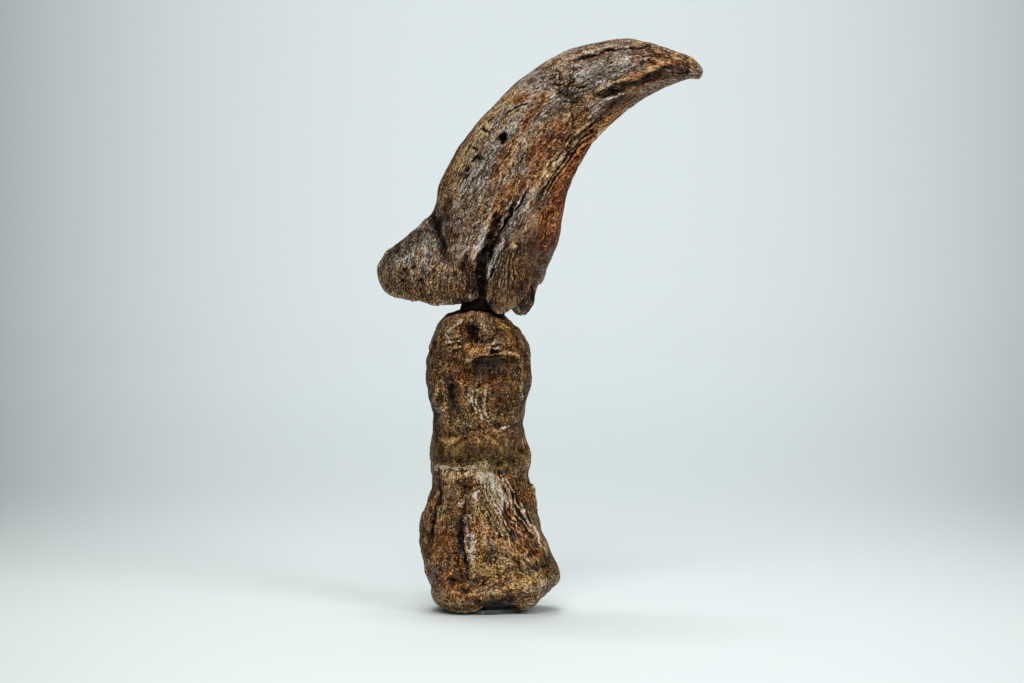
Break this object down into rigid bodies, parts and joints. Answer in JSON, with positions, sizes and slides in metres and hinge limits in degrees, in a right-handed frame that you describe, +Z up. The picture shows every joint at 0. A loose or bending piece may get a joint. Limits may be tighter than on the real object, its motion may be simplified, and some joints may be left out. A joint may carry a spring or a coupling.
{
  "type": "dinosaur fossil claw",
  "caption": "Curved fossil sickle claw with a broad heel and grooved flanks, glued upright on a waisted toe bone that stands on a thin pad of putty.",
  "frame": {"origin": "on the flat underside of the putty pad, under the middle of the toe bone", "axes": "+Z up the specimen, +X along the reach of the claw's tip in its median plane, +Y across its flanks, away from the pictured side"},
  "size_m": [0.0515, 0.0167, 0.0881],
  "materials": {
    "claw_bone": "varnished fossil bone, mottled dark brown, grey and rust",
    "toe_bone": "varnished fossil bone, rough, ochre brown with pale mineral streaks",
    "glue": "dark brown filled glue",
    "putty": "matt grey-green putty"
  },
  "bodies": {
    "root": {"claw": "claw_bone", "toe_bone": "toe_bone", "joint_filler": "glue", "base_putty": "putty"}
  },
  "joints": []
}
